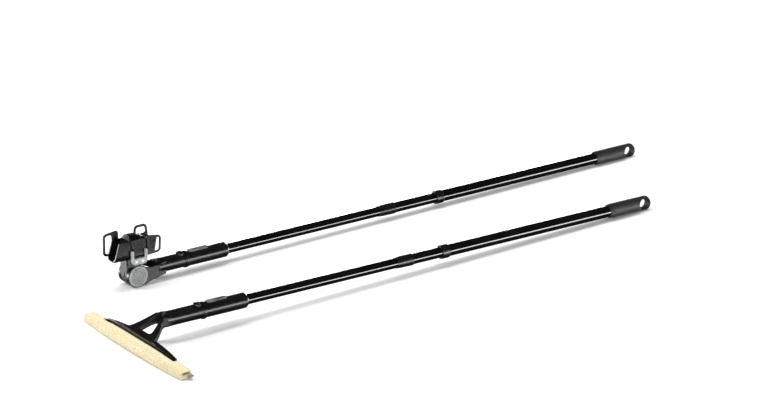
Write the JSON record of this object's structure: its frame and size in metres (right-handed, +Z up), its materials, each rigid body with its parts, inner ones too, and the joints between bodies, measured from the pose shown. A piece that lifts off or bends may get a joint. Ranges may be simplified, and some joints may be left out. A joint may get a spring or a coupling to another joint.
{
  "type": "window cleaning pole system",
  "caption": "Pair of black telescopic twist-lock poles: one carries a tilting cleaner holder with rubber straps, the other a wide microfibre wiper.",
  "frame": {"origin": "on the floor, under the middle of the set as it lies", "axes": "+X along the poles towards the grips, +Y across from the wiper pole to the holder pole, +Z up"},
  "size_m": [1.3338, 0.4334, 0.1055],
  "materials": {
    "soft_grip": "matt, fine texture",
    "black_tube": "glossy black coating on aluminium",
    "black_plastic": "fine spark-eroded satin",
    "gloss_black": "polished",
    "grey_plastic": "satin",
    "light_grey_plastic": "textured satin",
    "nylon": "natural, satin",
    "black_rubber": "matt",
    "steel": "zinc plated",
    "hook_tape": "hook tape",
    "microfibre": "cream looped microfibre",
    "webbing": "woven tape"
  },
  "bodies": {
    "holder_outer_stage": {"holder_grip": "soft_grip", "holder_outer_tube": "black_tube", "holder_outer_collar": "black_plastic"},
    "holder_outer_lock": {"holder_outer_lock_jaw": "nylon"},
    "holder_middle_stage": {"holder_middle_tube": "black_tube", "holder_middle_collar": "black_plastic", "holder_outer_lock_cone": "nylon"},
    "holder_inner_lock": {"holder_inner_lock_jaw": "nylon"},
    "holder_inner_stage": {"holder_inner_tube": "black_tube", "holder_inner_lock_cone": "nylon", "holder_coupling": "black_plastic", "holder_coupling_rivet": "steel", "holder_coupling_insert": "grey_plastic", "holder_button_spring": "steel", "holder_neck": "black_plastic", "tilt_bolt": "steel", "bolt_cap": "grey_plastic", "friction_washer": "nylon", "hinge_spring": "steel"},
    "holder_button": {"holder_release_button": "gloss_black"},
    "knob": {"tilt_knob": "light_grey_plastic", "knob_nut": "steel"},
    "tilt_head": {"tilt_barrel": "grey_plastic", "cradle": "black_plastic", "cradle_pin": "steel", "saddle": "black_rubber", "yoke": "light_grey_plastic", "yoke_screws": "steel"},
    "strap_left_flap": {"strap_left": "black_rubber"},
    "strap_right_flap": {"strap_right": "black_rubber"},
    "strap_rear_flap": {"strap_rear": "black_rubber"},
    "strap_front_flap": {"strap_front": "black_rubber"},
    "wiper_outer_stage": {"wiper_grip": "soft_grip", "wiper_outer_tube": "black_tube", "wiper_outer_collar": "black_plastic"},
    "wiper_outer_lock": {"wiper_outer_lock_jaw": "nylon"},
    "wiper_middle_stage": {"wiper_middle_tube": "black_tube", "wiper_middle_collar": "black_plastic", "wiper_outer_lock_cone": "nylon"},
    "wiper_inner_lock": {"wiper_inner_lock_jaw": "nylon"},
    "wiper_inner_stage": {"wiper_inner_tube": "black_tube", "wiper_inner_lock_cone": "nylon", "wiper_coupling": "black_plastic", "wiper_coupling_rivet": "steel", "wiper_coupling_insert": "grey_plastic", "wiper_button_spring": "steel", "wiper_neck": "black_plastic", "pad_carrier": "black_plastic", "carrier_screws": "steel", "hook_strip": "hook_tape"},
    "wiper_button": {"wiper_release_button": "gloss_black"},
    "pad": {"microfibre_pad": "microfibre", "pull_tab": "webbing"}
  },
  "joints": [
    {"name": "holder_middle_slide", "type": "slide", "parent": "holder_outer_stage", "child": "holder_outer_lock", "axis": [-0.9999, 0, 0.011], "range_m": [-0.097, 0.247]},
    {"name": "holder_middle_twist", "type": "hinge", "parent": "holder_outer_lock", "child": "holder_middle_stage", "pos_m": [0.47982, 0.19335, 0.01555], "axis": [-0.9999, 0, 0.011], "range_deg": [0, 90]},
    {"name": "holder_inner_slide", "type": "slide", "parent": "holder_middle_stage", "child": "holder_inner_lock", "axis": [-0.9999, 0, 0.011], "range_m": [-0.341, 0.008]},
    {"name": "holder_inner_twist", "type": "hinge", "parent": "holder_inner_lock", "child": "holder_inner_stage", "pos_m": [0.08784, 0.19335, 0.01985], "axis": [-0.9999, 0, 0.011], "range_deg": [0, 90]},
    {"name": "holder_button_press", "type": "slide", "parent": "holder_inner_stage", "child": "holder_button", "axis": [-0.011, 0, -0.9999], "range_m": [0, 0.0048], "stiffness_N_per_m": 400, "deforming": ["holder_button_spring"]},
    {"name": "knob_turn", "type": "hinge", "parent": "holder_inner_stage", "child": "knob", "pos_m": [-0.50019, 0.18035, 0.0207], "axis": [0, 1, 0], "range_deg": [-360, 360]},
    {"name": "head_tilt", "type": "hinge", "parent": "holder_inner_stage", "child": "tilt_head", "pos_m": [-0.50019, 0.19785, 0.0207], "axis": [0, 1, 0], "range_deg": [-90, 5]},
    {"name": "strap_left_flex", "type": "hinge", "parent": "tilt_head", "child": "strap_left_flap", "pos_m": [-0.52452, 0.20875, 0.08147], "axis": [0.011, 0, 0.9999], "range_deg": [-25, 0]},
    {"name": "strap_right_flex", "type": "hinge", "parent": "tilt_head", "child": "strap_right_flap", "pos_m": [-0.47857, 0.17795, 0.07647], "axis": [0.0609, 0, 0.9981], "range_deg": [-25, 10]},
    {"name": "strap_rear_flex", "type": "hinge", "parent": "tilt_head", "child": "strap_rear_flap", "pos_m": [-0.4765, 0.20875, 0.08294], "axis": [0.9999, 0, -0.011], "range_deg": [-25, 0]},
    {"name": "strap_front_flex", "type": "hinge", "parent": "tilt_head", "child": "strap_front_flap", "pos_m": [-0.49942, 0.17845, 0.0907], "axis": [0.9999, 0, -0.011], "range_deg": [-30, 0]},
    {"name": "wiper_pole_lift", "type": "slide", "parent": "holder_outer_stage", "child": "wiper_outer_stage", "axis": [0, 0, 1], "range_m": [0, 0.15]},
    {"name": "wiper_middle_slide", "type": "slide", "parent": "wiper_outer_stage", "child": "wiper_outer_lock", "axis": [-0.9997, 0, 0.0244], "range_m": [-0.064, 0.28]},
    {"name": "wiper_middle_twist", "type": "hinge", "parent": "wiper_outer_lock", "child": "wiper_middle_stage", "pos_m": [0.33885, -0.05265, 0.01726], "axis": [-0.9997, 0, 0.0244], "range_deg": [0, 90]},
    {"name": "wiper_inner_slide", "type": "slide", "parent": "wiper_middle_stage", "child": "wiper_inner_lock", "axis": [-0.9997, 0, 0.0244], "range_m": [-0.321, 0.028]},
    {"name": "wiper_inner_twist", "type": "hinge", "parent": "wiper_inner_lock", "child": "wiper_inner_stage", "pos_m": [-0.03304, -0.05265, 0.02635], "axis": [-0.9997, 0, 0.0244], "range_deg": [0, 90]},
    {"name": "wiper_button_press", "type": "slide", "parent": "wiper_inner_stage", "child": "wiper_button", "axis": [-0.0244, 0, -0.9997], "range_m": [0, 0.0048], "stiffness_N_per_m": 400, "deforming": ["wiper_button_spring"]},
    {"name": "pad_pull_off", "type": "slide", "parent": "wiper_inner_stage", "child": "pad", "axis": [-1, 0, 0], "range_m": [0, 0.05]}
  ]
}
